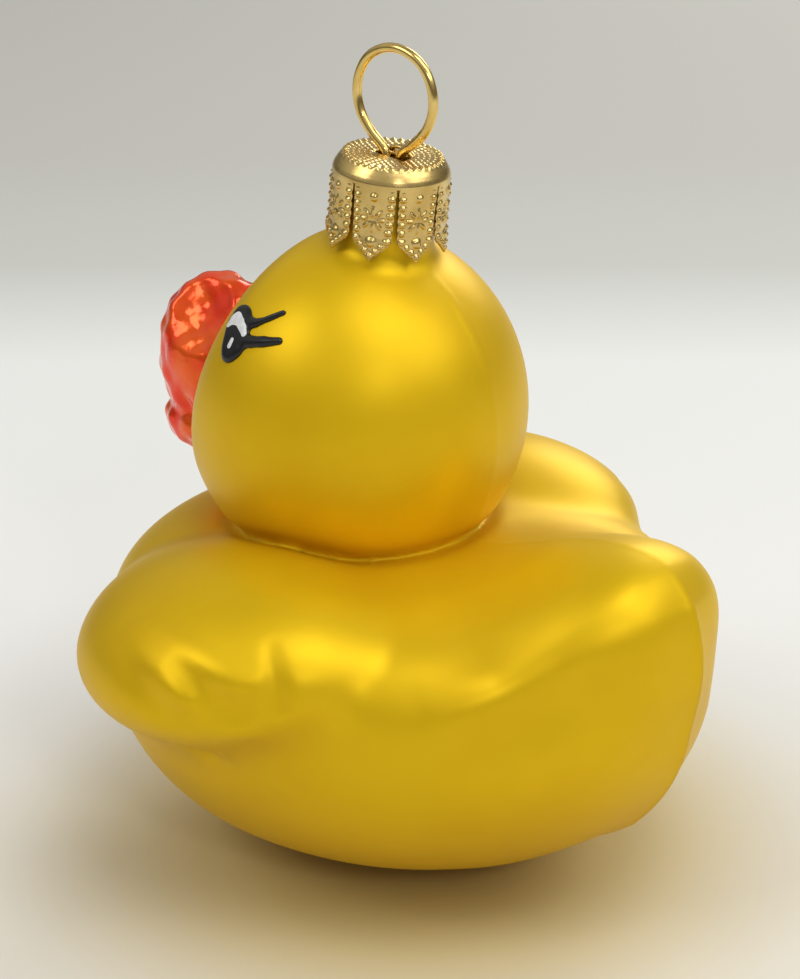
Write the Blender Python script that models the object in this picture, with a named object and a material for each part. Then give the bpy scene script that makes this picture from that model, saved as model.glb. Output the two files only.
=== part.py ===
"""Blown-glass duck ornament: a hollow lacquered glass duck with a stamped metal crown cap,
a spring-wire hanging loop and two raised enamel eyes.

All the sizes below are in millimetres, measured from the middle of the neck, and are turned
into metres at the end. The duck faces -Y, its left side is +X, +Z is up and the flat spot of
its belly is at z = 0.
"""
import math

import bmesh
import bpy
import numpy as np
from mathutils import Matrix, Vector

MM = 0.001
MIDDLE = 9.52                   # the neck's distance in front of the middle of the whole length

# glass, blown in a two-part mould
WALL = 1.1                      # thickness of the glass

HEAD_CENTRE = (0.0, 0.35, 55.6)
HEAD_SIZE = (20.8, 20.8, 21.9)
FACE_DEPTH, FACE_TILT, FACE_SOFT = 14.2, 19.4, 5.1     # the face is pressed a little flat

BODY_CENTRE = (0.0, 3.5, 25.8)
BODY_HALF_WIDTH = 34.3
BODY_FRONT, BODY_REAR = 32.9, 43.4
BODY_TOP, BODY_BOTTOM = 16.2, 26.2
BODY_TOP_SQUARE, BODY_BOTTOM_SQUARE = 3.2, 1.96

WING_CENTRE = (27.7, 2.5, 34.2)
WING_SIZE = (14.8, 18.8, 9.4)
WING_ROLL, WING_PITCH, WING_YAW = 15.3, 4.5, 5.9

TAIL_CENTRE = (0.0, 27.7, 25.6)
TAIL_SIZE = (17.1, 26.8, 13.1)
TAIL_LIFT = 49.4
TAIL_EDGE = 1.74

UPPER_BILL_CENTRE = (0.0, -19.6, 56.1)
UPPER_BILL_SIZE = (8.2, 9.8, 12.2)
UPPER_BILL_LIFT = 23.4
LOWER_BILL_CENTRE = (0.0, -19.0, 49.7)
LOWER_BILL_SIZE = (7.1, 9.1, 4.8)
DISH_CENTRE = (11.6, -20.2, 63.9)      # one hollow in each side of the bill, with a ridge between them
DISH_SIZE = (12.3, 8.0, 5.6)
DISH_ROLL = 37.4

# the neck of the glass, which leans back a little, and all that sits on it
NECK_FOOT = (0.0, 4.6, 75.0)
NECK_LEAN = 6.0
NECK_RADIUS = 5.6
NECK_BORE = 4.7
NECK_TOP = 11.6                 # above the foot, along the leaning axis

# crown cap, stamped from thin sheet: radius and height above the neck's foot, outside face
CAP_OUTSIDE = ((0.0, 12.35), (2.8, 12.35), (3.2, 12.55), (3.7, 12.55), (4.1, 12.35), (4.5, 12.35),
               (4.9, 12.6), (5.6, 12.55), (6.2, 12.0), (6.7, 11.2), (6.95, 10.3), (6.85, 8.5),
               (6.8, 6.5), (6.85, 4.5), (7.1, 2.6), (7.25, 1.9))
CAP_SHEET = 0.36
CAP_TONGUES = 8
CAP_SLIT = 0.6                  # between two tongues
CAP_SLIT_TOP, CAP_TIP_START, CAP_FOOT = 10.4, 3.9, 1.9
CAP_HOLE = (1.9, 4.2)           # the wire's slot in the top

# spring wire
WIRE = 1.15
LOOP_LEAN = 2.4
LOOP_PATH = ((3.4, -7.6), (2.6, -5.0), (1.1, -2.2), (0.95, -0.6), (1.5, 0.7), (3.2, 2.1), (4.8, 4.0),
             (5.5, 6.3), (5.25, 8.6), (4.1, 10.7), (2.2, 12.0), (0.0, 12.45))

# raised enamel: the eye's middle on the glass, its half sizes and two lashes
EYE_GAP = 0.3
EYE_MIDDLE = (16.4, -5.0, 67.8)
EYE_SIZE = (2.7, 3.9, 1.25)
EYE_TILT = -14.0
LASHES = (((15.6, -3.0, 69.6), (14.5, 1.7, 71.2)), ((16.9, -2.4, 67.6), (16.6, 3.0, 68.5)))
LASH_RADIUS = 0.95


def rot_x(p, degrees):
    c, s = math.cos(math.radians(degrees)), math.sin(math.radians(degrees))
    return np.stack([p[..., 0], c * p[..., 1] + s * p[..., 2], -s * p[..., 1] + c * p[..., 2]], -1)


def rot_y(p, degrees):
    c, s = math.cos(math.radians(degrees)), math.sin(math.radians(degrees))
    return np.stack([c * p[..., 0] - s * p[..., 2], p[..., 1], s * p[..., 0] + c * p[..., 2]], -1)


def rot_z(p, degrees):
    c, s = math.cos(math.radians(degrees)), math.sin(math.radians(degrees))
    return np.stack([c * p[..., 0] + s * p[..., 1], -s * p[..., 0] + c * p[..., 1], p[..., 2]], -1)


def egg(p, size, square=2.0, plan=1.0):
    """Distance to an egg with three half sizes. A low square sharpens its edge, a high one fills it."""
    sx, sy, sz = size
    ring = ((p[..., 0] / sx) ** 2 + (p[..., 1] / sy) ** 2) ** (square / 2 * plan)
    k = (ring + (np.abs(p[..., 2] / sz) + 1e-9) ** square) ** (1 / square) + 1e-9
    slope = np.sqrt((p[..., 0] / sx ** 2) ** 2 + (p[..., 1] / sy ** 2) ** 2 + (p[..., 2] / sz ** 2) ** 2)
    return k * (k - 1) / (slope + 1e-9)


def blend(a, b, soft):
    h = np.maximum(soft - np.abs(a - b), 0) / soft
    return np.minimum(a, b) - h * h * soft / 4


def hull(p):
    p = p - np.array(BODY_CENTRE)
    rear, top = p[..., 1] > 0, p[..., 2] > 0
    size = (BODY_HALF_WIDTH, np.where(rear, BODY_REAR, BODY_FRONT), np.where(top, BODY_TOP, BODY_BOTTOM))
    return egg(p, size, np.where(top, BODY_TOP_SQUARE, BODY_BOTTOM_SQUARE))


def wing(p):
    p = np.stack([np.abs(p[..., 0]), p[..., 1], p[..., 2]], -1) - np.array(WING_CENTRE)
    return egg(rot_z(rot_x(rot_y(p, WING_ROLL), WING_PITCH), WING_YAW), WING_SIZE)


def tail(p):
    return egg(rot_x(p - np.array(TAIL_CENTRE), TAIL_LIFT), TAIL_SIZE, TAIL_EDGE, 1.4)


def body(p):
    return blend(blend(hull(p), tail(p), 7.5), wing(p), 4.5)


def head(p):
    p = p - np.array(HEAD_CENTRE)
    tilt = math.radians(FACE_TILT)
    face = -p[..., 1] * math.cos(tilt) + p[..., 2] * math.sin(tilt) - FACE_DEPTH
    return -blend(-egg(p, HEAD_SIZE), -face, FACE_SOFT)


def bill(p):
    upper = egg(rot_x(p - np.array(UPPER_BILL_CENTRE), UPPER_BILL_LIFT), UPPER_BILL_SIZE)
    lower = egg(p - np.array(LOWER_BILL_CENTRE), LOWER_BILL_SIZE)
    return blend(upper, lower, 1.0)


def dish(p):
    return egg(rot_y(p - np.array(DISH_CENTRE), DISH_ROLL), DISH_SIZE)


def new_object(bm, name):
    """Turns the finished mesh from millimetres into metres and puts it in the scene."""
    bmesh.ops.recalc_face_normals(bm, faces=bm.faces)
    bmesh.ops.translate(bm, vec=(0, -MIDDLE, 0), verts=bm.verts)
    bmesh.ops.scale(bm, vec=(MM, MM, MM), verts=bm.verts)
    mesh = bpy.data.meshes.new(name)
    bm.to_mesh(mesh)
    bm.free()
    ob = bpy.data.objects.new(name, mesh)
    bpy.context.scene.collection.objects.link(ob)
    return ob


def ball(name, centre, shape, level, around, down, reach=70.0):
    """A sphere whose points are moved out from the centre until the shape's distance is the level."""
    bm = bmesh.new()
    bmesh.ops.create_uvsphere(bm, u_segments=around, v_segments=down, radius=1.0)
    way = np.array([v.co[:] for v in bm.verts])
    way /= np.linalg.norm(way, axis=1)[:, None]
    middle = np.array(centre)
    steps = np.linspace(0.5, reach, 280)
    dist = shape(middle + way[:, None, :] * steps[None, :, None]) - level
    first = np.argmax(dist > 0, axis=1)
    low, high = steps[np.maximum(first - 1, 0)], steps[first]
    for _ in range(30):
        mid = (low + high) / 2
        inside = shape(middle + way * mid[:, None]) < level
        low, high = np.where(inside, mid, low), np.where(inside, high, mid)
    for v, co in zip(bm.verts, middle + way * ((low + high) / 2)[:, None]):
        v.co = co
    return new_object(bm, name)


def leaning(foot, degrees):
    return Matrix.Translation(foot) @ Matrix.Rotation(math.radians(-degrees), 4, "X")


def rod(name, radius, bottom, top, around=40, matrix=None):
    bm = bmesh.new()
    bmesh.ops.create_cone(bm, cap_ends=True, segments=around, radius1=radius, radius2=radius,
                          depth=top - bottom)
    bmesh.ops.translate(bm, verts=bm.verts, vec=(0, 0, (top + bottom) / 2))
    if matrix is not None:
        bmesh.ops.transform(bm, matrix=matrix, verts=bm.verts)
    return new_object(bm, name)


def combine(target, tools, operation):
    for tool in tools:
        mod = target.modifiers.new(operation.title(), "BOOLEAN")
        mod.operation, mod.solver, mod.object = operation, "EXACT", tool
        tool.hide_render = True
        tool.display_type = "WIRE"
        for c in list(tool.users_collection):
            c.objects.unlink(tool)
        cutters.objects.link(tool)


def material(name, colour, metallic, rough):
    mat = bpy.data.materials.new(name)
    mat.use_nodes = True
    bsdf = mat.node_tree.nodes["Principled BSDF"]
    bsdf.inputs["Base Color"].default_value = (*colour, 1)
    bsdf.inputs["Metallic"].default_value = metallic
    bsdf.inputs["Roughness"].default_value = rough
    return mat


def smooth(ob, angle=40):
    ob.data.shade_smooth()
    ob.data.set_sharp_from_angle(angle=math.radians(angle))


def finish(ob, mat):
    ob.data.materials.append(mat)
    for c in list(ob.users_collection):
        c.objects.unlink(ob)
    duck.objects.link(ob)


for old in list(bpy.data.objects):
    bpy.data.objects.remove(old)
duck = bpy.data.collections.new("Glass Duck Ornament")
cutters = bpy.data.collections.new("Cutters")
for c in (duck, cutters):
    bpy.context.scene.collection.children.link(c)


# The glass: one skin blown into a mould, so the hollow follows the outside at the wall's thickness
def body_skin(name, inset, around, down):
    """The body, with the flat spot of its belly."""
    ob = ball(name, (0, 5, 27), body, -inset, around, down)
    for v in ob.data.vertices:
        v.co.z = max(v.co.z, inset * MM)
    return ob


def bill_skin(name, inset, around, down):
    """The bill's two lips, with a hollow pressed into each side of the upper one."""
    ob = ball(name, (0, -17.0, 53.0), bill, -inset, around, down)
    apart = inset * 1.6             # inside the glass the two hollows meet, so no sliver is left between them
    dishes = [ball(f"{name}_dish_{number + 1}", DISH_CENTRE, dish, apart, 24, 16) for number in range(2)]
    for v in dishes[1].data.vertices:
        v.co.x *= -1
    dishes[1].data.flip_normals()
    combine(ob, dishes, "DIFFERENCE")
    return ob


neck = leaning(NECK_FOOT, NECK_LEAN)
glass = body_skin("glass_duck", 0.0, 68, 42)
outside = (ball("head_outside", HEAD_CENTRE, head, 0.0, 48, 30),
           bill_skin("bill_outside", 0.0, 30, 22),
           rod("neck_outside", NECK_RADIUS, -3.0, NECK_TOP, 36, neck))
hollow = body_skin("hollow", WALL, 44, 28)
inside = (ball("head_inside", HEAD_CENTRE, head, -WALL, 32, 20),
          bill_skin("bill_inside", WALL, 18, 14),
          rod("neck_inside", NECK_BORE, -4.0, NECK_TOP + 2, 28, neck))
combine(glass, outside, "UNION")
combine(hollow, inside, "UNION")
combine(glass, (hollow,), "DIFFERENCE")
smooth(glass)
finish(glass, material("Pearl yellow lacquer over silvered glass", (0.86, 0.56, 0.03), 0.55, 0.32))


# The crown cap: a stamped cup whose skirt is slit into eight pointed tongues
def crown_cap():
    """Spins the sheet's section round the neck's axis."""
    bm = bmesh.new()
    sheet = [Vector((r, 0, z)) for r, z in CAP_OUTSIDE]
    under = []
    for i, point in enumerate(sheet):
        before, after = sheet[max(i - 1, 0)], sheet[min(i + 1, len(sheet) - 1)]
        along = (after - before).normalized()
        under.append(point + Vector((-abs(along.z), 0, -abs(along.x) if along.z <= 0.5 else 0)) * CAP_SHEET)
    under[0].x = 0
    line = [bm.verts.new(p) for p in sheet + under[::-1]]
    edges = [bm.edges.new(pair) for pair in zip(line, line[1:])]
    bmesh.ops.spin(bm, geom=line + edges, cent=(0, 0, 0), axis=(0, 0, 1), angle=math.tau, steps=48,
                   use_merge=True, use_normal_flip=False, use_duplicate=False)
    bmesh.ops.remove_doubles(bm, verts=bm.verts, dist=0.001)
    bmesh.ops.transform(bm, matrix=neck, verts=bm.verts)
    return new_object(bm, "crown_cap")


def tongue_slits():
    """Eight cutters: a narrow slit above, and the wedge that points two tongues below."""
    bm = bmesh.new()
    wide = 6.35 * math.tan(math.pi / CAP_TONGUES) - 0.25
    half = CAP_SLIT / 2
    shape = ((-half, CAP_SLIT_TOP), (0, CAP_SLIT_TOP + 0.5), (half, CAP_SLIT_TOP), (half, CAP_TIP_START),
             (wide, CAP_FOOT), (wide, 0.0), (-wide, 0.0), (-wide, CAP_FOOT), (-half, CAP_TIP_START))
    for n in range(CAP_TONGUES):
        face = bm.faces.new([bm.verts.new((6.35, t, z)) for t, z in shape])
        grown = bmesh.ops.extrude_face_region(bm, geom=[face])["geom"]
        corners = [v for v in grown if isinstance(v, bmesh.types.BMVert)]
        bmesh.ops.translate(bm, verts=corners, vec=(2.2, 0, 0))
        piece = corners + list(face.verts)
        turn = Matrix.Rotation(math.tau * n / CAP_TONGUES, 4, "Z")
        bmesh.ops.transform(bm, matrix=neck @ turn, verts=piece)
    return new_object(bm, "tongue_slits")


def wire_slot():
    """The round-ended hole in the cap's top that the wire goes through."""
    wide, long = CAP_HOLE
    bm = bmesh.new()
    bmesh.ops.create_cone(bm, cap_ends=True, segments=24, radius1=wide / 2, radius2=wide / 2, depth=6)
    for v in bm.verts:
        v.co.y += math.copysign((long - wide) / 2, v.co.y)
    bmesh.ops.translate(bm, verts=bm.verts, vec=(0, 0, CAP_OUTSIDE[0][1]))
    bmesh.ops.transform(bm, matrix=neck, verts=bm.verts)
    return new_object(bm, "wire_slot")


cap = crown_cap()
combine(cap, (tongue_slits(), wire_slot()), "DIFFERENCE")
smooth(cap, 35)
finish(cap, material("Stamped gold-coloured metal", (0.78, 0.55, 0.2), 1.0, 0.3))


# The hanging loop: one spring wire, whose legs spread inside the neck and hold the cap down
def hanger_loop():
    """A smooth curve through the path's points and their mirror image, with the wire's thickness."""
    curve = bpy.data.curves.new("hanger_loop", "CURVE")
    curve.dimensions = "3D"
    curve.bevel_depth, curve.bevel_resolution = WIRE / 2 * MM, 2
    curve.resolution_u, curve.use_fill_caps = 4, True
    stand = leaning(neck @ Vector((0, 0, CAP_OUTSIDE[0][1])), LOOP_LEAN)
    path = [(y, z) for y, z in LOOP_PATH] + [(-y, z) for y, z in LOOP_PATH[-2::-1]]
    spline = curve.splines.new("BEZIER")
    spline.bezier_points.add(len(path) - 1)
    for point, (y, z) in zip(spline.bezier_points, path):
        point.co = (stand @ Vector((0, y, z)) - Vector((0, MIDDLE, 0))) * MM
        point.handle_left_type = point.handle_right_type = "AUTO"
    bent = bpy.data.objects.new("hanger_curve", curve)
    bpy.context.scene.collection.objects.link(bent)
    bpy.context.view_layer.update()
    mesh = bpy.data.meshes.new_from_object(bent.evaluated_get(bpy.context.evaluated_depsgraph_get()))
    bpy.data.objects.remove(bent)
    ob = bpy.data.objects.new("hanger_loop", mesh)
    bpy.context.scene.collection.objects.link(ob)
    return ob


loop = hanger_loop()
smooth(loop)
finish(loop, material("Bright brass wire", (0.83, 0.62, 0.2), 1.0, 0.12))


# The eyes: black enamel laid on thick, a tall oval with two lashes that point back
def enamel_eye(name, side):
    middle = Vector(EYE_MIDDLE)
    out = (middle - Vector(HEAD_CENTRE)).normalized()
    back = Vector((0, 1, 0)) - out * out.y
    back.normalize()
    up = out.cross(back)
    up = up if up.z > 0 else -up
    tangent = Matrix((back, up, out)).transposed().to_4x4()
    bm = bmesh.new()
    bmesh.ops.create_uvsphere(bm, u_segments=28, v_segments=16, radius=1.0)
    bmesh.ops.scale(bm, vec=EYE_SIZE, verts=bm.verts)
    lie = tangent @ Matrix.Rotation(math.radians(EYE_TILT), 4, "Z")
    bmesh.ops.transform(bm, verts=bm.verts, matrix=Matrix.Translation(middle) @ lie)
    eye = new_object(bm, name)
    lashes = []
    for number, (root, tip) in enumerate(LASHES):
        root, tip = Vector(root), Vector(tip)
        bm = bmesh.new()
        bmesh.ops.create_uvsphere(bm, u_segments=14, v_segments=12, radius=LASH_RADIUS)
        for v in bm.verts:
            v.co.z += math.copysign((tip - root).length / 2, v.co.z)
        lie = (tip - root).to_track_quat("Z", "Y").to_matrix().to_4x4()
        bmesh.ops.transform(bm, verts=bm.verts, matrix=Matrix.Translation((root + tip) / 2) @ lie)
        lashes.append(new_object(bm, f"{name}_lash_{number + 1}"))
    glass_under = ball(name + "_glass_under", HEAD_CENTRE, head, EYE_GAP, 64, 40)
    for ob in (eye, *lashes):
        for v in ob.data.vertices:
            v.co.x *= side
        if side < 0:
            ob.data.flip_normals()
    combine(eye, lashes, "UNION")
    combine(eye, (glass_under,), "DIFFERENCE")
    smooth(eye, 50)
    finish(eye, material("Black enamel " + name, (0.012, 0.012, 0.013), 0.0, 0.25))
    return eye


enamel_eye("left_eye", 1)
enamel_eye("right_eye", -1)
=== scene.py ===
"""A blown-glass duck ornament on a pale table, seen from behind and to its left."""
import math

import bmesh
import bpy
import numpy as np
from mathutils import Matrix, Vector


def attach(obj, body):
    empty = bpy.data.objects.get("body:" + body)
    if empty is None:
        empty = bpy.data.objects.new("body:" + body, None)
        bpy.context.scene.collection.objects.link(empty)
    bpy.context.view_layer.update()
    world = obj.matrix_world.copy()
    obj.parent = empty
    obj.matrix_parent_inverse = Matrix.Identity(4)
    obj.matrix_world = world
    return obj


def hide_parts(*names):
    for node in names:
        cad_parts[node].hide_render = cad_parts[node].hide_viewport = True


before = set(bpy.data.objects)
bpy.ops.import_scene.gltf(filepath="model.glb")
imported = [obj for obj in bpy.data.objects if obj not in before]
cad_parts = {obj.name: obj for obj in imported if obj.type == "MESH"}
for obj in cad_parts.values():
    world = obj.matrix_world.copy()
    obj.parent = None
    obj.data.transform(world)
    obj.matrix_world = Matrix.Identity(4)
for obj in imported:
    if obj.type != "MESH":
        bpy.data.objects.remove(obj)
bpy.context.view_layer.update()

scene = bpy.context.scene
scene.view_settings.view_transform = "Standard"
MM = 0.001


# The camera stands behind the duck's left shoulder and looks down on it a little, with a lens
# long enough that the ornament fills the frame from about 30 cm.
CAMERA_TURN, CAMERA_DROP = 128.06, 22.29
CAMERA_PLACE = (0.21604, 0.16656, 0.15831)
SENSOR, FOCAL_PIXELS, FRAME_HEIGHT = 36, 2440, 979
photo_camera = bpy.data.cameras.new("photo_camera")
photo_camera.sensor_fit = "VERTICAL"
photo_camera.sensor_height = SENSOR
photo_camera.lens = SENSOR * FOCAL_PIXELS / FRAME_HEIGHT
photo_camera.clip_start = 0.01
camera = bpy.data.objects.new("photo_camera", photo_camera)
camera.location = CAMERA_PLACE
camera.rotation_euler = (math.radians(90 - CAMERA_DROP), 0, math.radians(CAMERA_TURN))
scene.collection.objects.link(camera)
scene.camera = camera


# The table is a wide sheet of matt off-white paper. Light and shade are painted into its colour: a warm
# painted shadow close to the duck, palest behind it, and a painted fall-off to grey where the paper leaves
# the light.
class Wire:
    """A socket of a material, with the arithmetic that a maker would write down."""

    def __init__(self, tree, socket):
        self.tree, self.socket = tree, socket

    def math(self, operation, first, second):
        return Wire.node(self.tree, "ShaderNodeMath", {"operation": operation}, {0: first, 1: second})

    def __add__(self, other):
        return self.math("ADD", self, other)

    def __radd__(self, other):
        return self.math("ADD", other, self)

    def __sub__(self, other):
        return self.math("SUBTRACT", self, other)

    def __rsub__(self, other):
        return self.math("SUBTRACT", other, self)

    def __mul__(self, other):
        return self.math("MULTIPLY", self, other)

    def __rmul__(self, other):
        return self.math("MULTIPLY", other, self)

    def step(self, low, high):
        """0 below low, 1 above high, and smooth between."""
        return Wire.node(self.tree, "ShaderNodeMapRange", {"interpolation_type": "SMOOTHSTEP"},
                         {"Value": self, "From Min": low, "From Max": high})

    def mix(self, first, second):
        """Between two colours, by this number."""
        return Wire.node(self.tree, "ShaderNodeMix", {"data_type": "RGBA"},
                         {"Factor": self, 6: first, 7: second}, 2)

    @staticmethod
    def node(tree, kind, settings, inputs, output=0):
        """Any other node: its settings, what feeds its inputs, and which output to carry on with."""
        made = tree.nodes.new(kind)
        for name, value in settings.items():
            if name == "stops":
                ramp = made.color_ramp
                while len(ramp.elements) < len(value):
                    ramp.elements.new(0.5)
                for element, (place, colour) in zip(ramp.elements, value):
                    element.position, element.color = place, (*colour, 1)
            else:
                setattr(made, name, value)
        for name, value in inputs.items():
            if isinstance(value, Wire):
                tree.links.new(value.socket, made.inputs[name])
            else:
                set_socket(made.inputs[name], value)
        return Wire(tree, made.outputs[output])


def set_socket(socket, value):
    """Sets a constant; a colour is written as red, green and blue."""
    socket.default_value = (*value, 1) if socket.type == "RGBA" else value


def finish_of(finish_name, **constants):
    """A material whose constant sockets are set here; gives its tree and its Principled node."""
    made = bpy.data.materials.new(finish_name)
    made.use_nodes = True
    coat = made.node_tree.nodes["Principled BSDF"]
    for name, value in constants.items():
        set_socket(coat.inputs[name.replace("_", " ")], value)
    return made, made.node_tree, coat


def join(tree, wire, socket):
    """Feeds one of the finish's own sockets."""
    tree.links.new(wire.socket, socket)


def place(tree):
    """Where the point is on the piece, in metres."""
    return Wire.node(tree, "ShaderNodeTexCoord", {}, {}, 3)


def grain(tree, at, size, detail=2.0):
    """Noise whose lumps are about this many metres across."""
    return Wire.node(tree, "ShaderNodeTexNoise", {}, {"Vector": at, "Scale": 1 / size, "Detail": detail})


def relief(tree, coat, height, depth, strength):
    """Small lumps and hollows in the finish, this many metres deep."""
    bump = Wire.node(tree, "ShaderNodeBump", {}, {"Height": height, "Distance": depth, "Strength": strength})
    join(tree, bump, coat.inputs["Normal"])


# The paper's painted light and shade along the line of sight, from well in front of the duck to far behind
# it: painted shadow just in front of the duck, and painted fall-off to grey far behind.
PAPER_PAINTED_LIGHT = (
    (0.0, (0.80, 0.80, 0.77)), (0.16, (0.77, 0.75, 0.69)), (0.28, (0.72, 0.69, 0.61)),
    (0.35, (0.78, 0.75, 0.67)), (0.43, (0.84, 0.84, 0.81)), (0.60, (0.82, 0.82, 0.79)),
    (0.68, (0.59, 0.59, 0.55)), (0.80, (0.54, 0.53, 0.48)), (1.0, (0.53, 0.52, 0.47)))
PAPER_NEAR, PAPER_DEPTH = -0.30, 0.80                   # metres, where the first and last tones lie
PAINTED_DUCK_SHADOW = (0.58, 0.46, 0.17)                         # painted shadow of the duck, tinted yellow by the light it throws on the paper
THROWN_FULL, THROWN_GONE = 0.016, 0.060                 # metres from the duck's middle, where the painted shadow is full and where it is gone
sheet = bmesh.new()
bmesh.ops.create_grid(sheet, x_segments=60, y_segments=60, size=3.0)
paper_mesh = bpy.data.meshes.new("paper_table")
sheet.to_mesh(paper_mesh)
sheet.free()
paper = bpy.data.objects.new("paper_table", paper_mesh)
scene.collection.objects.link(paper)
paper_finish, tree, coat = finish_of("matt paper", Roughness=0.9)
at = place(tree)
across = Wire.node(tree, "ShaderNodeSeparateXYZ", {}, {"Vector": at}, 0)
along = Wire.node(tree, "ShaderNodeSeparateXYZ", {}, {"Vector": at}, 1)
away = across * -math.sin(math.radians(CAMERA_TURN)) + along * math.cos(math.radians(CAMERA_TURN))
along_sight = (away - PAPER_NEAR) * (1 / PAPER_DEPTH)
# The paper's colour with painted shadow near the duck and painted fall-off of the light far behind.
painted_paper_shade = Wire.node(tree, "ShaderNodeValToRGB", {"stops": PAPER_PAINTED_LIGHT}, {"Fac": along_sight})
from_duck = Wire.node(tree, "ShaderNodeVectorMath", {"operation": "LENGTH"}, {0: at}, 1)
# Painted shadow of the duck round its middle, laid over the paper's painted light and shade.
join(tree, from_duck.step(THROWN_FULL, THROWN_GONE).mix(PAINTED_DUCK_SHADOW, painted_paper_shade), coat.inputs["Base Color"])
relief(tree, coat, grain(tree, at, 0.0006, 3), 0.00005, 0.3)
paper_mesh.materials.append(paper_finish)


# The light is a bright room: pale walls above a darker skirting and a dimmer ceiling. Four broad soft
# windows and one small lamp light the duck, the largest from behind it.
world = bpy.data.worlds.new("room")
scene.world = world
world.use_nodes = True
sky = world.node_tree
# The room's tone from straight down, past the horizon at 0.5, to straight up.
ROOM = (
    (0.0, (0.45, 0.44, 0.40)), (0.48, (0.30, 0.29, 0.27)), (0.56, (0.22, 0.215, 0.20)),
    (0.70, (0.62, 0.62, 0.61)), (0.85, (0.78, 0.78, 0.77)), (1.0, (0.45, 0.45, 0.44)))
BACKDROP = (0.70, 0.70, 0.66)
ROOM_LIGHT = 0.68
direction = Wire.node(sky, "ShaderNodeTexCoord", {}, {}, 0)
height = Wire.node(sky, "ShaderNodeSeparateXYZ", {}, {"Vector": direction}, 2)
room = Wire.node(sky, "ShaderNodeValToRGB", {"stops": ROOM}, {"Fac": height * 0.5 + 0.5})
seen = Wire.node(sky, "ShaderNodeLightPath", {}, {}, 0)
join(sky, seen.mix(room, BACKDROP), sky.nodes["Background"].inputs["Color"])
sky.nodes["Background"].inputs["Strength"].default_value = ROOM_LIGHT
LIT = Vector((0, 0, 0.04))                              # the duck's middle, where every lamp points


def soft_window(name, where, width, height, power):
    """A lamp of this width and height in metres and this power in watts."""
    lamp = bpy.data.lights.new(name, "AREA")
    lamp.shape = "RECTANGLE"
    lamp.size = width
    lamp.size_y = height
    lamp.energy = power
    ob = bpy.data.objects.new(name, lamp)
    ob.location = where
    ob.rotation_euler = (LIT - Vector(where)).to_track_quat("-Z", "Y").to_euler()
    scene.collection.objects.link(ob)


soft_window("rear_window", (-0.20, 0.76, 0.75), 0.8, 0.5, power=2.6)
soft_window("left_window", (0.72, -0.40, 0.85), 0.5, 0.5, power=2.4)
soft_window("ceiling_window", (0.10, 0.35, 0.95), 0.5, 0.5, power=2.6)
soft_window("right_window", (-0.90, -0.20, 0.50), 0.5, 0.5, power=2.8)
soft_window("small_lamp", (0.50, 0.75, 0.62), 0.12, 0.12, power=0.9)


# The duck itself is one bubble of glass, blown into a two-part mould, silvered inside and coated
# with satin pearl-yellow lacquer. The mould's seam runs over its back and round its tail.
# Sizes are in millimetres, from a point on the table under the head, with the bill towards -y.
MIDDLE = 9.52                                           # from there back to the middle of the whole length
HEAD_CENTRE, HEAD_SIZE = (0.0, 0.35, 55.6), (20.8, 20.8, 21.9)
FACE_DEPTH, FACE_TILT, FACE_SOFT = 14.2, 19.4, 5.1
BODY_CENTRE, BODY_HALF_WIDTH = (0.0, 3.5, 25.8), 34.3
BODY_FRONT, BODY_REAR = 32.9, 43.4
BODY_TOP, BODY_BOTTOM = 16.2, 26.2
BODY_TOP_SQUARE, BODY_BOTTOM_SQUARE = 3.2, 1.96
WING_CENTRE, WING_SIZE = (27.7, 2.5, 34.2), (14.8, 18.8, 9.4)
WING_ROLL, WING_PITCH, WING_YAW = 15.3, 4.5, 5.9
TAIL_CENTRE, TAIL_SIZE = (0.0, 27.7, 25.6), (17.1, 26.8, 13.1)
TAIL_LIFT, TAIL_EDGE, TAIL_PLAN = 49.4, 1.74, 1.4
NECK_FOOT, NECK_LEAN = (0.0, 4.6, 75.0), 6.0
NECK_RADIUS, NECK_MIDDLE, NECK_HALF = 5.6, 4.0, 7.6


def turned(p, axis, degrees):
    """The points as seen by a shape that is turned by this angle."""
    c, s = math.cos(math.radians(degrees)), math.sin(math.radians(degrees))
    x, y, z = p[..., 0], p[..., 1], p[..., 2]
    if axis == "X":
        return np.stack([x, c * y + s * z, -s * y + c * z], -1)
    if axis == "Y":
        return np.stack([c * x - s * z, y, s * x + c * z], -1)
    return np.stack([c * x + s * y, -s * x + c * y, z], -1)


def egg(p, size, square=2.0, plan=1.0):
    """Distance to an egg with these half sizes; a higher square makes its side more upright."""
    sx, sy, sz = size
    ring = ((p[..., 0] / sx) ** 2 + (p[..., 1] / sy) ** 2) ** (square / 2 * plan)
    k = (ring + (np.abs(p[..., 2] / sz) + 1e-9) ** square) ** (1 / square) + 1e-9
    slope = np.sqrt((p[..., 0] / sx ** 2) ** 2 + (p[..., 1] / sy ** 2) ** 2 + (p[..., 2] / sz ** 2) ** 2)
    return k * (k - 1) / (slope + 1e-9)


def blend(a, b, soft):
    """Joins two shapes with a fillet."""
    h = np.maximum(soft - np.abs(a - b), 0) / soft
    return np.minimum(a, b) - h * h * soft / 4


def either_side(p):
    """Folds both sides of the duck onto its left."""
    return np.stack([np.abs(p[..., 0]), p[..., 1], p[..., 2]], -1)


def hull(p):
    p = p - np.array(BODY_CENTRE)
    rear, top = p[..., 1] > 0, p[..., 2] > 0
    size = (BODY_HALF_WIDTH, np.where(rear, BODY_REAR, BODY_FRONT), np.where(top, BODY_TOP, BODY_BOTTOM))
    return egg(p, size, np.where(top, BODY_TOP_SQUARE, BODY_BOTTOM_SQUARE))


def wing(p):
    p = turned(either_side(p) - np.array(WING_CENTRE), "Y", WING_ROLL)
    return egg(turned(turned(p, "X", WING_PITCH), "Z", WING_YAW), WING_SIZE)


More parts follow.
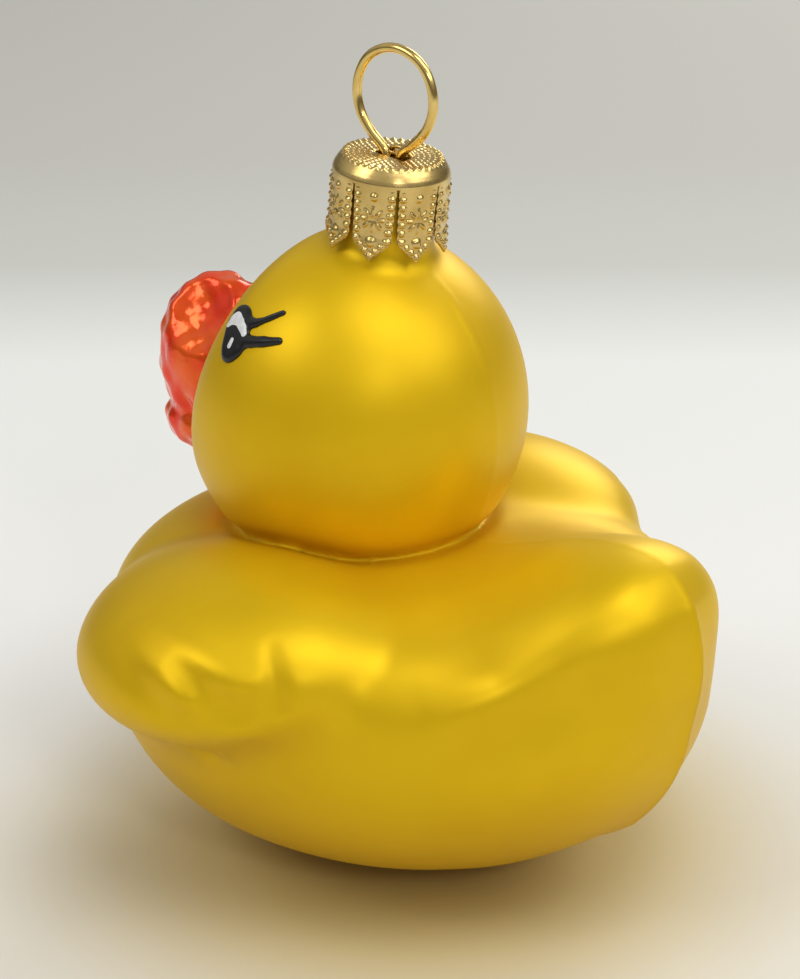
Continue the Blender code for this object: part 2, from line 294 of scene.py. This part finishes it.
def tail(p):
    return egg(turned(p - np.array(TAIL_CENTRE), "X", TAIL_LIFT), TAIL_SIZE, TAIL_EDGE, TAIL_PLAN)


def head(p):
    p = p - np.array(HEAD_CENTRE)
    tilt = math.radians(FACE_TILT)
    face = -p[..., 1] * math.cos(tilt) + p[..., 2] * math.sin(tilt) - FACE_DEPTH
    return -blend(-egg(p, HEAD_SIZE), -face, FACE_SOFT)


def neck(p):
    """The plain tube that the cap sits on."""
    p = turned(p - np.array(NECK_FOOT), "X", -NECK_LEAN)
    past_ends = np.abs(p[..., 2] - NECK_MIDDLE) - NECK_HALF
    return np.maximum(np.hypot(p[..., 0], p[..., 1]) - NECK_RADIUS, past_ends)


def crease(p, start, end, width):
    """A fold along a line on either side of the duck, which widens and deepens from its start."""
    p = either_side(p)
    start, end = np.array(start), np.array(end)
    along = np.clip((p - start) @ (end - start) / ((end - start) @ (end - start)), 0, 1)
    apart = ((p - start - along[..., None] * (end - start)) ** 2).sum(-1)
    return np.exp(-apart / (width * (0.6 + 0.5 * along)) ** 2) * along ** 0.7


# Folds in the glass: start, end, half width and depth. A ridge has a depth below zero.
WING_FOLDS = (
    ((36.8, -2.0, 39.9), (38.4, 13.5, 36.4), 1.8, -0.55),
    ((39.6, 5.0, 37.2), (39.2, 14.0, 33.9), 2.5, 1.1),
    ((37.0, -3.0, 38.5), (41.2, 8.5, 34.4), 2.0, -0.7),
    ((41.6, -1.5, 36.0), (41.3, 11.0, 31.2), 2.4, 0.7),
    ((41.5, 2.0, 30.6), (38.4, 15.0, 30.8), 1.8, -0.45),
    ((40.0, 1.4, 27.4), (35.5, 7.0, 24.0), 1.6, 0.6),
    ((32.6, 14.0, 40.2), (35.8, 17.8, 34.8), 1.5, 0.8))
TAIL_FOLDS = (
    ((26.0, 31.0, 32.5), (7.5, 46.0, 41.0), 4.6, -1.2),
    ((27.5, 34.0, 27.0), (15.0, 44.0, 34.5), 4.5, 1.2),
    ((20.0, 24.0, 41.0), (3.0, 38.0, 46.5), 5.0, 0.5))
TAIL_JOIN, WING_JOIN, HEAD_JOIN, NECK_JOIN = 7.5, 4.5, 0.5, 2.0       # how softly each meets the rest
GROOVE_DEPTH, GROOVE_WIDTH = 0.7, 0.9                   # under the head
SEAM_HEIGHT, SEAM_WIDTH = 0.10, 0.3
KEEL_HEIGHT, KEEL_WIDTH = 1.3, 4.0                      # the two halves meet in a blunt edge at the stern


def duck_skin(p):
    """The whole outside of the yellow glass, cut flat where it stands."""
    body = blend(blend(hull(p), tail(p), TAIL_JOIN), wing(p), WING_JOIN)
    for start, end, width, depth in WING_FOLDS + TAIL_FOLDS:
        body = body + depth * crease(p, start, end, width)
    under_head = GROOVE_DEPTH * np.exp(-(head(p) ** 2 + body ** 2) / GROOVE_WIDTH ** 2)
    skin = blend(blend(head(p), body, HEAD_JOIN) + under_head, neck(p), NECK_JOIN)
    # The seam starts behind the head, and the blunt edge below the tail.
    rear = np.clip((p[..., 1] - 8) / 6, 0, 1)
    low_rear = np.clip((p[..., 1] - 34) / 8, 0, 1) * np.clip((47 - p[..., 2]) / 5, 0, 1)
    seam = SEAM_HEIGHT * np.exp(-(p[..., 0] / SEAM_WIDTH) ** 2) * rear
    keel = KEEL_HEIGHT * np.exp(-np.abs(p[..., 0]) / KEEL_WIDTH) * low_rear
    return np.maximum(skin - seam - keel, -p[..., 2])


SETTLE_STEPS, PROBE = 4, 0.04


def cell_points(value):
    """In every cell that the surface cuts, the mean of the cuts through its edges, and the cell's number."""
    n = value.shape
    cells = tuple(size - 1 for size in n)
    total, count = np.zeros(cells + (3,)), np.zeros(cells)
    for axis in range(3):
        u, v = [a for a in range(3) if a != axis]
        for du in (0, 1):
            for dv in (0, 1):
                here = [None] * 3
                here[u], here[v] = slice(du, n[u] - 1 + du), slice(dv, n[v] - 1 + dv)
                one, two = list(here), list(here)
                one[axis], two[axis] = slice(0, n[axis] - 1), slice(1, n[axis])
                a, b = value[tuple(one)], value[tuple(two)]
                cut = (a < 0) != (b < 0)
                off = np.zeros(a.shape + (3,))
                off[..., axis] = np.where(cut, a / np.where(a == b, 1, a - b), 0)
                off[..., u], off[..., v] = du, dv
                total += off * cut[..., None]
                count += cut
    full = count > 0
    number = -np.ones(cells, int)
    number[full] = np.arange(full.sum())
    return np.argwhere(full) + total[full] / count[full][:, None], number


def cell_faces(solid, number):
    """A face round every grid line that the surface cuts, turned outwards."""
    n = solid.shape
    faces = []
    for axis in range(3):
        u, v = [a for a in range(3) if a != axis]
        u, v = (v, u) if axis == 1 else (u, v)
        one = [slice(1, n[k] - 1) for k in range(3)]
        two = list(one)
        one[axis], two[axis] = slice(0, n[axis] - 1), slice(1, n[axis])
        cut = solid[tuple(one)] != solid[tuple(two)]
        inward = solid[tuple(one)][cut]
        base = np.argwhere(cut)
        for k in range(3):
            base[:, k] += k != axis
        corner = []
        for du, dv in ((-1, -1), (0, -1), (0, 0), (-1, 0)):
            c = base.copy()
            c[:, u] += du
            c[:, v] += dv
            corner.append(number[tuple(c.T)])
        quad = np.stack(corner, 1)
        quad[~inward] = quad[~inward][:, ::-1]
        faces.append(quad)
    return np.concatenate(faces)


def skin_mesh(shape, low, high, cell):
    """Wraps a shape in four-sided faces: one point in every cell that the surface passes through."""
    axes = [np.arange(a, b + cell, cell) for a, b in zip(low, high)]
    value = shape(np.stack(np.meshgrid(*axes, indexing="ij"), -1))
    points, number = cell_points(value)
    points = points * cell + np.array([a[0] for a in axes])
    for _ in range(SETTLE_STEPS):
        rise = [shape(points + step) - shape(points - step) for step in np.eye(3) * PROBE]
        slope = np.stack(rise, -1) / (2 * PROBE)
        off = shape(points) / np.maximum((slope ** 2).sum(1), 1e-4)
        points = points - slope * off[:, None].clip(-0.3, 0.3)
    return points, cell_faces(value < 0, number)


def piece(name, points, faces, finish, *nodes, slot=None):
    """A finished piece, shaded smooth, which rides on the duck and shows the given nodes."""
    mesh = bpy.data.meshes.new(name)
    placed = (np.asarray(points) - (0, MIDDLE, 0)) * MM
    mesh.from_pydata(placed.tolist(), [], [list(map(int, face)) for face in faces])
    mesh.shade_smooth()
    mesh.materials.append(finish)
    ob = bpy.data.objects.new(name, mesh)
    scene.collection.objects.link(ob)
    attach(ob, "root")
    if nodes:
        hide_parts(*nodes)
    return ob


YELLOW, DEEP_YELLOW = (0.79, 0.51, 0.006), (0.73, 0.45, 0.004)
lacquer, tree, coat = finish_of("pearl yellow lacquer", Metallic=0.5, Specular_IOR_Level=0.2)
at = place(tree)
cloudy = grain(tree, at, 0.02, 3)
join(tree, cloudy.step(0.3, 0.75).mix(YELLOW, DEEP_YELLOW), coat.inputs["Base Color"])
join(tree, grain(tree, at, 0.006, 4) * 0.08 + 0.39, coat.inputs["Roughness"])
relief(tree, coat, grain(tree, at, 0.004, 3), 0.0001, 0.25)
CELL = 0.62
HALF_ACROSS = 71.5 * CELL                               # puts a row of points on the seam
points, faces = skin_mesh(duck_skin, (-HALF_ACROSS, -32, -1), (HALF_ACROSS, 51, 88), CELL)
piece("duck_glass", points, faces, lacquer, "glass_duck", slot="glass_duck")


# The bill is the same glass, dipped in glossy red-orange lacquer: two lips, the upper one turned up
# high, with a hollow pressed into each side of it and a ridge between them. It is crumpled a little.
UPPER_BILL_CENTRE, UPPER_BILL_SIZE, UPPER_BILL_LIFT = (0.0, -19.6, 56.1), (8.2, 9.8, 12.2), 23.4
LOWER_BILL_CENTRE, LOWER_BILL_SIZE = (0.0, -19.4, 49.3), (7.8, 9.9, 4.9)
DISH_CENTRE, DISH_SIZE, DISH_ROLL = (11.6, -20.2, 63.9), (12.3, 8.0, 5.6), 37.4
DENT_START, DENT_END, DENT_WIDTH, DENT_DEPTH = (7.9, -22.5, 57.5), (7.2, -20.5, 52.5), 1.5, 0.4
CRUMPLE, LIP_JOIN, DISH_EDGE = 0.25, 0.5, 0.35


def bill(p):
    upper = egg(turned(p - np.array(UPPER_BILL_CENTRE), "X", UPPER_BILL_LIFT), UPPER_BILL_SIZE)
    lower = egg(p - np.array(LOWER_BILL_CENTRE), LOWER_BILL_SIZE)
    hollow = egg(turned(either_side(p) - np.array(DISH_CENTRE), "Y", DISH_ROLL), DISH_SIZE)
    dent = DENT_DEPTH * crease(p, DENT_START, DENT_END, DENT_WIDTH)
    x, y, z = p[..., 0], p[..., 1], p[..., 2]
    crumple = CRUMPLE * np.sin(1.5 * x + 0.6) * np.sin(1.3 * y + 0.4) * np.sin(1.1 * z)
    return -blend(-blend(upper, lower, LIP_JOIN) - dent, hollow, DISH_EDGE) + crumple


RED, ORANGE_RED = (0.90, 0.040, 0.002), (0.95, 0.120, 0.004)
bill_lacquer, tree, coat = finish_of(
    "glossy red lacquer", Metallic=0.45, Roughness=0.16, Coat_Weight=0.15, Coat_Roughness=0.03)
at = place(tree)
join(tree, grain(tree, at, 0.005, 2).step(0.35, 0.7).mix(RED, ORANGE_RED), coat.inputs["Base Color"])
relief(tree, coat, grain(tree, at, 0.0022, 2), 0.0003, 0.5)
points, faces = skin_mesh(bill, (-11, -32, 43), (11, -5, 72), 0.3)
piece("duck_bill", points, faces, bill_lacquer, "glass_duck", slot="glass_duck")


# Each eye is black enamel laid on thick with a brush: a tall drop with two lashes that point back,
# and two strokes of white on top of it. The right eye mirrors the left.
# An outline's points are (back, up) from the eye's middle; a stroke's also give the brush's half width.
EYE_MIDDLE = Vector((16.4, -5.0, 67.8))
EYE_BODY = (
    (0.4, 3.6), (1.6, 3.2), (2.6, 1.9), (3.1, 0.2), (3.0, -1.9), (1.9, -3.2),
    (0.8, -3.6), (-0.1, -3.3), (-0.7, -2.2), (-1.0, -0.6), (-1.3, 1.2), (-0.7, 3.1))
UPPER_LASH = ((2.0, 1.4, 0.9), (3.45, 1.65, 0.6), (4.5, 2.2, 0.4), (5.3, 2.75, 0.4), (6.4, 3.6, 0.34))
LOWER_LASH = ((2.4, -0.8, 0.9), (3.9, -0.6, 0.75), (4.6, -0.48, 0.67), (5.55, -0.25, 0.7), (6.4, -0.05, 0.56),
              (7.4, 0.28, 0.46))
CHEVRON = (
    ((-0.4, 0.75, 0.42), (0.1, 1.45, 0.75), (0.5, 1.65, 0.75)),
    ((0.5, 1.65, 0.75), (1.4, 1.25, 0.68), (2.1, 0.65, 0.58), (2.65, 0.0, 0.36)))
GLINT = (((1.15, -0.95, 0.36), (1.0, -1.65, 0.4)),)
BLACK_THICK, WHITE_THICK, WHITE_BASE = 0.5, 0.1, 0.46   # the white lies on the black
SHOULDER, SUNK = 0.9, 0.25
out = (EYE_MIDDLE - Vector(HEAD_CENTRE)).normalized()
back = (Vector((0, 1, 0)) - out * out.y).normalized()
up = out.cross(back)
up = up if up.z > 0 else -up


def on_head(across, raise_by):
    """Puts a flat drawing (back, up) on the head's surface, raised by so much."""
    flat = np.array(EYE_MIDDLE) + across[:, :1] * np.array(back) + across[:, 1:2] * np.array(up)
    low, high = flat - 8 * np.array(out), flat + 8 * np.array(out)
    for _ in range(40):
        mid = (low + high) / 2
        inside = (head(mid) < 0)[:, None]
        low, high = np.where(inside, mid, low), np.where(inside, high, mid)
    normal = np.stack([head(low + s) - head(low - s) for s in np.eye(3) * 0.05], -1)
    normal /= np.linalg.norm(normal, axis=1)[:, None]
    return low + normal * raise_by[:, None]


def smooth_between(a, b, c, d, t):
    """The stretch from b to c of a smooth line through all four points."""
    bend, twist = 2 * a - 5 * b + 4 * c - d, 3 * b - a - 3 * c + d
    return 0.5 * (2 * b + (c - a) * t + bend * t ** 2 + twist * t ** 3)


def closed_curve(corners, between_two=8):
    """A smooth closed line through the corners."""
    ring = [np.roll(np.array(corners), shift, 0)[:, None] for shift in (1, 0, -1, -2)]
    t = np.linspace(0, 1, between_two, endpoint=False)[None, :, None]
    return smooth_between(*ring, t).reshape(-1, 2)


def from_outline(q, ring):
    """Distance to a closed line, below zero inside it."""
    a, b = ring[None], np.roll(ring, -1, 0)[None]
    q = q[:, None]
    t = np.clip(((q - a) * (b - a)).sum(-1) / ((b - a) ** 2).sum(-1), 0, 1)
    far = np.sqrt((((a + (b - a) * t[..., None]) - q) ** 2).sum(-1)).min(1)
    rise = np.where(a[..., 1] == b[..., 1], 1, b[..., 1] - a[..., 1])
    over = q[..., 0] < (b[..., 0] - a[..., 0]) * (q[..., 1] - a[..., 1]) / rise + a[..., 0]
    crossing = ((a[..., 1] > q[..., 1]) != (b[..., 1] > q[..., 1])) & over
    return np.where(crossing.sum(1) % 2 == 1, -far, far)


def from_stroke(q, stroke):
    """Distance to a brush stroke: points with the brush's half width at each."""
    nearest = np.full(len(q), 9.0)
    for (x1, y1, r1), (x2, y2, r2) in zip(stroke, stroke[1:]):
        a, b = np.array((x1, y1)), np.array((x2, y2))
        t = np.clip((q - a) @ (b - a) / ((b - a) @ (b - a)), 0, 1)
        far = np.linalg.norm(q - a - t[:, None] * (b - a), axis=1)
        nearest = np.minimum(nearest, far - (r1 + (r2 - r1) * t))
    return nearest


def enamel_drop(name, outline, strokes, base, height, cell, finish, side, *nodes):
    """A domed drop over an outline and strokes: it rises from its edge and sits a little in the glass."""
    rings = [closed_curve(outline)] if outline else []

    def edge(q):
        parts = [from_stroke(q, stroke) for stroke in strokes] + [from_outline(q, ring) for ring in rings]
        while len(parts) > 1:
            parts[-2:] = [blend(parts[-2], parts[-1], 0.5)]
        return parts[0]

    corners = np.concatenate([np.array(stroke)[:, :2] for stroke in strokes] + rings)
    low, high = corners.min(0) - 1.2, corners.max(0) + 1.2

    def drop(p):
        flat = edge(p.reshape(-1, 3)[:, :2]).reshape(p.shape[:-1])
        dome = height * np.sqrt(np.clip(1 - (1 + np.clip(flat, -SHOULDER, 0) / SHOULDER) ** 2, 0, 1))
        return np.maximum(flat, np.maximum(p[..., 2] - dome - 0.02, -p[..., 2] - SUNK)) * 0.8

    points, faces = skin_mesh(drop, (*low, -0.5), (*high, height + 0.4), cell)
    placed = on_head(points[:, :2], points[:, 2] + base)
    placed[:, 0] *= side
    return piece(name, placed, faces if side > 0 else faces[:, ::-1], finish, *nodes, slot="eye_enamel")


BLACK = (0.006, 0.006, 0.007)
black, tree, coat = finish_of(
    "black enamel", Base_Color=BLACK, Specular_IOR_Level=0.35, Coat_Weight=0.15, Coat_Roughness=0.1)
at = place(tree)
join(tree, grain(tree, at, 0.0012, 3) * 0.2 + 0.22, coat.inputs["Roughness"])
relief(tree, coat, grain(tree, at, 0.0009, 3), 0.00004, 0.4)
white, tree, coat = finish_of("white enamel", Coat_Weight=0.3, Coat_Roughness=0.2)
at = place(tree)
WHITE, SHADED_WHITE = (0.80, 0.80, 0.80), (0.68, 0.68, 0.69)
join(tree, grain(tree, at, 0.0008, 3).step(0.3, 0.7).mix(WHITE, SHADED_WHITE), coat.inputs["Base Color"])
join(tree, grain(tree, at, 0.0015, 2) * 0.2 + 0.35, coat.inputs["Roughness"])
for side, name in ((1, "left_eye"), (-1, "right_eye")):
    lashes = (UPPER_LASH, LOWER_LASH)
    enamel_drop(name + "_black", EYE_BODY, lashes, 0.0, BLACK_THICK, 0.12, black, side, name)
    enamel_drop(name + "_chevron", None, CHEVRON, WHITE_BASE, WHITE_THICK, 0.055, white, side, name)
    enamel_drop(name + "_glint", None, GLINT, WHITE_BASE, WHITE_THICK, 0.05, white, side, name)


# The crown cap is stamped from thin gold-coloured sheet. Its top carries rings of granules round the
# slot for the wire, and each of its eight tongues a border of beads, two bosses and an eight-rayed star.
NECK_FRAME = Matrix.Translation(NECK_FOOT) @ Matrix.Rotation(math.radians(-NECK_LEAN), 4, "X")
TONGUES, SHEET = 8, 0.3
CAP_RADIUS, SLIT_HALF, SLIT_OPENS = 6.9, 0.14, 0.26     # a slit widens by twice the last on its way down
SLIT_TOP, TIP_START, FOOT = 10.4, 3.9, 1.75             # heights over the foot of the neck
SIDE_LINE = ((7.25, 1.7), (7.1, 2.6), (6.85, 4.5), (6.8, 6.5), (6.85, 8.5), (6.9, SLIT_TOP))
TOP_LINE = ((6.9, SLIT_TOP), (6.88, 10.8), (6.7, 11.25), (6.4, 11.75), (6.15, 12.1), (5.95, 12.35),
            (5.7, 12.45), (0.0, 12.35))
TOP_SLOT, TOP_SLOT_END = 0.95, 2.3                      # half its width and half its length
HIGH_BOSS, STAR, LOW_BOSS, BEAD_PITCH = 9.3, 6.65, 3.95, 1.02
TOP_RINGS = ((4.75, 40), (4.1, 34), (3.45, 28), (2.8, 22))          # radius and number of granules


def bump(distance, radius):
    """A round-topped lump, 1 in its middle."""
    return np.clip(1 - (distance / radius) ** 2, 0, 1) ** 0.75


def half_width(z):
    """Half of a tongue's width at a height, in millimetres along the sheet."""
    straight = CAP_RADIUS * math.pi / TONGUES - SLIT_HALF - SLIT_OPENS * np.clip((SLIT_TOP - z) / 8, 0, 1)
    return straight * np.clip((z - FOOT) / (TIP_START - FOOT), 0.02, 1)


def tongue_relief(across, z):
    """How far the stamping stands out of the tongue's face."""
    border = np.abs(np.abs(across) - (half_width(np.maximum(z, TIP_START)) - 0.5))
    row = (z - TIP_START - 0.25 + BEAD_PITCH / 2) % BEAD_PITCH - BEAD_PITCH / 2
    beads = bump(np.hypot(border * 0.75, row * 1.05), 0.36) * ((z > TIP_START - 0.1) & (z < SLIT_TOP - 0.4))
    for step in range(4):
        x, low = 0.62 * step, FOOT + 0.62 + 0.56 * step
        beads = np.maximum(beads, bump(np.hypot(np.abs(across) - x, z - low), 0.34))
    high_boss = bump(np.hypot(across, z - HIGH_BOSS), 0.5)
    bosses = np.maximum(high_boss, bump(np.hypot(across, z - LOW_BOSS), 0.62))
    away, turn = np.hypot(across, z - STAR), np.arctan2(across, z - STAR)
    ray = np.abs((turn + math.pi / 8) % (math.pi / 4) - math.pi / 8) * away
    star = bump(ray, 0.2) * bump(away - 0.95, 0.62)
    rim = bump(np.abs(across) - half_width(z), 0.16) * 0.3
    return 0.3 * beads + 0.32 * bosses + 0.26 * star + 0.08 * rim


def top_relief(r, turn):
    """Rings of granules, and a rope of short ribs round the outside."""
    height = 0.24 * bump(r - 5.55, 0.5) * (0.45 + 0.55 * np.cos(turn * 38))
    for radius, count in TOP_RINGS:
        height = height + 0.13 * bump(r - radius, 0.34) * (0.55 + 0.45 * np.cos(turn * count))
    return height


def stamped_cap():
    """The tongues one by one, then the top as rings of points that stand over the tongues' own points."""
    spread = np.linspace(-1, 1, 41)
    middles = [math.tau * (n + 0.5) / TONGUES for n in range(TONGUES)]
    rings = np.linspace(SIDE_LINE[0][1], SLIT_TOP, 66)
    rings[0] = FOOT                                     # where each tongue comes to its point
    line_r, line_z = np.array(SIDE_LINE).T
    points, faces = [], []
    radius = np.interp(rings, line_z, line_r)
    for middle in middles:
        first = len(points)
        for z, r in zip(rings, radius):
            across = spread * half_width(z)
            out_by = r + tongue_relief(across, np.full_like(across, z))
            turn = middle + across / r
            points.extend(zip(out_by * np.cos(turn), out_by * np.sin(turn), np.full_like(turn, z)))
        for i in range(len(rings) - 1):
            for j in range(len(spread) - 1):
                k = first + i * len(spread) + j
                faces.append((k, k + 1, k + 1 + len(spread), k + len(spread)))
    top_first = len(points)
    top = np.array(TOP_LINE)
    length = np.concatenate([[0], np.cumsum(np.linalg.norm(np.diff(top, axis=0), axis=1))])
    walk = np.linspace(0, length[-1] - 0.6, 58)
    top_r, top_z = np.interp(walk, length, top[:, 0]), np.interp(walk, length, top[:, 1])
    wide = half_width(SLIT_TOP)
    turns = np.concatenate([middle + spread * wide / radius[-1] for middle in middles])
    for r, z in zip(top_r, top_z):
        up_by = top_relief(np.full_like(turns, r), turns) * (z > 11)
        points.extend(zip(r * np.cos(turns), r * np.sin(turns), z + up_by))
    count = len(turns)
    for i in range(len(walk) - 1):
        for j in range(count):
            k, n = top_first + i * count + j, top_first + i * count + (j + 1) % count
            if top_r[i] > TOP_SLOT_END or abs(top_r[i] * math.cos(turns[j])) > TOP_SLOT:
                faces.append((k, n, n + count, k + count))
    return points, faces


def stood(stand, points):
    """The points of a piece that was drawn upright, put where it stands."""
    return [tuple(stand @ Vector(point)) for point in points]


GOLD, WORN_GOLD = (0.74, 0.54, 0.20), (0.60, 0.42, 0.14)
gold, tree, coat = finish_of("stamped gold metal", Metallic=1.0)
at = place(tree)
join(tree, grain(tree, at, 0.003, 3).step(0.3, 0.7).mix(GOLD, WORN_GOLD), coat.inputs["Base Color"])
join(tree, grain(tree, at, 0.002, 3) * 0.12 + 0.2, coat.inputs["Roughness"])
relief(tree, coat, grain(tree, at, 0.0007, 2), 0.00003, 0.3)
points, faces = stamped_cap()
cap = piece("stamped_cap", stood(NECK_FRAME, points), faces, gold, "crown_cap", slot="crown_cap")
weld = bmesh.new()
weld.from_mesh(cap.data)
bmesh.ops.remove_doubles(weld, verts=weld.verts, dist=0.02 * MM)
weld.to_mesh(cap.data)
weld.free()
thick = cap.modifiers.new("sheet", "SOLIDIFY")
thick.thickness, thick.offset = SHEET * MM, -1
ARCH_HALF_LENGTH, ARCH_FOOT, ARCH_RISE, ARCH_STEPS = 2.1, 12.2, 1.0, 24
ARCH_SECTION = ((-0.95, 0), (-1.5, 0.12), (-2.1, 0), (-2.1, -0.3), (-0.95, -0.3))
arch, faces, corners = [], [], len(ARCH_SECTION)
for step in range(ARCH_STEPS + 1):
    y = ARCH_HALF_LENGTH * (step / (ARCH_STEPS / 2) - 1)
    rise = ARCH_FOOT + ARCH_RISE * (1 - (y / ARCH_HALF_LENGTH) ** 2)
    arch += [(x, y, rise + z) for x, z in ARCH_SECTION]
for step in range(ARCH_STEPS):
    for side in range(corners):
        first, second = step * corners + side, step * corners + (side + 1) % corners
        faces.append((first, first + corners, second + corners, second))
piece("cap_arch", stood(NECK_FRAME, arch), faces, gold, "crown_cap", slot="crown_cap")


# The hanging loop is bright round brass wire, bent into a ring whose two ends cross the slot and
# spread inside the neck.
WIRE, LOOP_LEAN = 1.15, 2.4
SLOT_PLACE = (0, 0, 12.35)                              # in the middle of the cap's top
LOOP_PATH = ((3.4, -7.6), (2.6, -5.0), (1.1, -2.2), (0.95, -0.6), (1.5, 0.7), (3.2, 2.1), (4.8, 4.0),
             (5.5, 6.3), (5.25, 8.6), (4.1, 10.7), (2.2, 12.0), (0.0, 12.45))


def tube(line, radius, around=24):
    """Sweeps a circle along a line that lies in the plane x = 0."""
    line = np.array(line)
    along = np.gradient(line, axis=0)
    along /= np.linalg.norm(along, axis=1)[:, None]
    side = np.stack([-along[:, 1], along[:, 0]], 1)
    points, faces = [], []
    for (y, z), (sy, sz) in zip(line, side):
        for k in range(around):
            a = math.tau * k / around
            off = radius * math.sin(a)
            points.append((radius * math.cos(a), y + off * sy, z + off * sz))
    for i in range(len(line) - 1):
        for k in range(around):
            a, b = i * around + k, i * around + (k + 1) % around
            faces.append((a, b, b + around, a + around))
    faces.append(tuple(range(around))[::-1])
    faces.append(tuple(range(len(points) - around, len(points))))
    return points, faces


path = np.array(LOOP_PATH + tuple((-y, z) for y, z in LOOP_PATH[-2::-1]))
fine = np.linspace(1, len(path) - 3, 240)
k = np.clip(fine.astype(int), 1, len(path) - 3)
smooth_path = smooth_between(path[k - 1], path[k], path[k + 1], path[k + 2], (fine - k)[:, None])
BRASS, DULL_BRASS = (0.82, 0.60, 0.20), (0.74, 0.51, 0.16)
wire_finish, tree, coat = finish_of("bright brass wire", Metallic=1.0)
at = place(tree)
join(tree, grain(tree, at, 0.002, 3).step(0.3, 0.7).mix(BRASS, DULL_BRASS), coat.inputs["Base Color"])
join(tree, grain(tree, at, 0.0015, 3) * 0.12 + 0.1, coat.inputs["Roughness"])
points, faces = tube(smooth_path, WIRE / 2)
over_slot = Matrix.Translation(NECK_FRAME @ Vector(SLOT_PLACE))
stand = over_slot @ Matrix.Rotation(math.radians(-LOOP_LEAN), 4, "X")
piece("wire_loop", stood(stand, points), faces, wire_finish, "hanger_loop", slot="hanger_loop")
